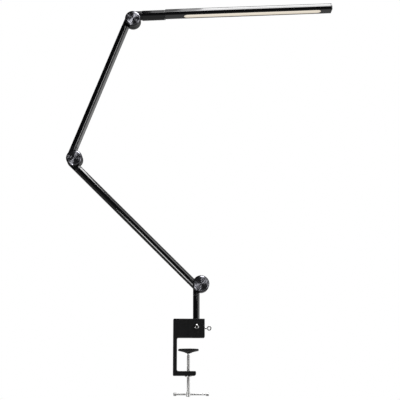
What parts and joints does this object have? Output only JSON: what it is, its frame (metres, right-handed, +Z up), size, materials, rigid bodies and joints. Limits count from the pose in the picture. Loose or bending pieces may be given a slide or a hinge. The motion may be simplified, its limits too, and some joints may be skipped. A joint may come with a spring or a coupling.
{
  "type": "architect desk lamp",
  "caption": "Clamp-on architect desk lamp with a swivelling post, jointed tubular arms, turned joint caps and a long slim light bar.",
  "frame": {"origin": "where the clamp screw's axis meets the clamp face that rests on the desk", "axes": "+Z up along the clamp screw, +X towards the light bar's free end, +Y away from the viewer along the arm joints' axes"},
  "size_m": [0.5365, 0.0392, 0.7964],
  "materials": {
    "clamp_black": "satin black powder coat",
    "arm_black": "gloss black anodised",
    "joint_black": "satin black anodised",
    "turned_aluminium": "turned face with a fine circular grain",
    "bright_steel": "bright nickel plate",
    "inner_steel": "plain zinc plate",
    "rubber_black": "matte black",
    "nylon_black": "matte black moulded",
    "plain_aluminium": "mill finish strip",
    "diffuser": "warm white translucent",
    "board_white": "white solder mask with small light chips",
    "wire_black": "matte black sheath"
  },
  "bodies": {
    "clamp": {"clamp_frame": "clamp_black", "jaw_insert": "bright_steel", "post_bushing": "nylon_black", "bushing_screw": "bright_steel"},
    "pad_carriage": {"pad_seat": "nylon_black"},
    "pad": {"pad_cup": "clamp_black", "pad_rubber": "rubber_black"},
    "clamp_screw": {"clamp_rod": "bright_steel"},
    "cross_bar": {"cross_bar": "bright_steel", "cross_knob_left": "bright_steel", "cross_knob_right": "bright_steel"},
    "lock_plug": {"lock_tip": "nylon_black"},
    "lock_screw": {"lock_screw": "bright_steel"},
    "post": {"post_tube": "arm_black", "post_plug": "nylon_black", "cord_grommet": "rubber_black", "post_wire": "wire_black", "low_knuckle_back": "joint_black", "low_cap_back": "turned_aluminium", "low_friction_washer": "nylon_black", "low_pivot_bolt": "inner_steel", "low_spring_washer": "inner_steel", "low_pivot_nut": "inner_steel"},
    "lower_arm": {"low_knuckle_front": "joint_black", "low_cap_front": "turned_aluminium", "lower_arm_tube": "arm_black", "lower_arm_wire": "wire_black", "mid_knuckle_back": "joint_black", "mid_cap_back": "turned_aluminium", "mid_friction_washer": "nylon_black", "mid_pivot_bolt": "inner_steel", "mid_spring_washer": "inner_steel", "mid_pivot_nut": "inner_steel"},
    "upper_arm": {"mid_knuckle_front": "joint_black", "mid_cap_front": "turned_aluminium", "upper_arm_tube": "arm_black", "upper_arm_wire": "wire_black", "top_knuckle_back": "joint_black", "top_cap_back": "turned_aluminium", "top_friction_washer": "nylon_black", "top_pivot_bolt": "inner_steel", "top_spring_washer": "inner_steel", "top_pivot_nut": "inner_steel"},
    "neck": {"top_knuckle_front": "joint_black", "top_cap_front": "turned_aluminium", "neck_tube": "arm_black", "neck_wire": "wire_black", "twist_bush": "nylon_black"},
    "bar": {"bar_hub": "joint_black", "twist_nut": "inner_steel", "bar_shell": "arm_black", "bar_end": "joint_black", "lens": "diffuser", "led_board": "board_white", "led_carrier": "plain_aluminium", "driver_board": "board_white"}
  },
  "joints": [
    {"name": "post_swivel", "type": "hinge", "parent": "clamp", "child": "post", "pos_m": [0.0148, 0, 0.035], "axis": [0, 0, 1], "continuous": true},
    {"name": "low_joint", "type": "hinge", "parent": "post", "child": "lower_arm", "pos_m": [0.0236, 0, 0.102], "axis": [0, -1, 0], "range_deg": [-205, 40]},
    {"name": "mid_joint", "type": "hinge", "parent": "lower_arm", "child": "upper_arm", "pos_m": [-0.22575, 0, 0.34875], "axis": [0, 1, 0], "range_deg": [-140, 95]},
    {"name": "top_joint", "type": "hinge", "parent": "upper_arm", "child": "neck", "pos_m": [-0.1154, 0, 0.6439], "axis": [0, -1, 0], "range_deg": [-85, 150]},
    {"name": "bar_twist", "type": "hinge", "parent": "neck", "child": "bar", "pos_m": [-0.05099, 0, 0.6565], "axis": [0.9985, 0, 0.0541], "range_deg": [-90, 90]},
    {"name": "pad_lift", "type": "slide", "parent": "clamp", "child": "pad_carriage", "axis": [0, 0, 1], "range_m": [-0.0325, 0.018]},
    {"name": "pad_tilt", "type": "hinge", "parent": "pad_carriage", "child": "pad", "pos_m": [0, 0, -0.0278], "axis": [0, 1, 0], "range_deg": [-4, 4]},
    {"name": "screw_turn", "type": "hinge", "parent": "pad_carriage", "child": "clamp_screw", "pos_m": [0, 0, -0.0278], "axis": [0, 0, 1], "range_deg": [-11710, 6490]},
    {"name": "cross_bar_slide", "type": "slide", "parent": "clamp_screw", "child": "cross_bar", "axis": [1, 0, 0], "range_m": [-0.029, 0.0182]},
    {"name": "lock_travel", "type": "slide", "parent": "clamp", "child": "lock_plug", "axis": [1, 0, 0], "range_m": [0, 0.004]},
    {"name": "lock_turn", "type": "hinge", "parent": "lock_plug", "child": "lock_screw", "pos_m": [0.03, 0, 0.0178], "axis": [1, 0, 0], "range_deg": [0, 2890]}
  ],
  "couplings": [
    {"joint": "screw_turn", "follows": "pad_lift", "rad_per_m": 6283.2},
    {"joint": "lock_turn", "follows": "lock_travel", "rad_per_m": 12566}
  ]
}
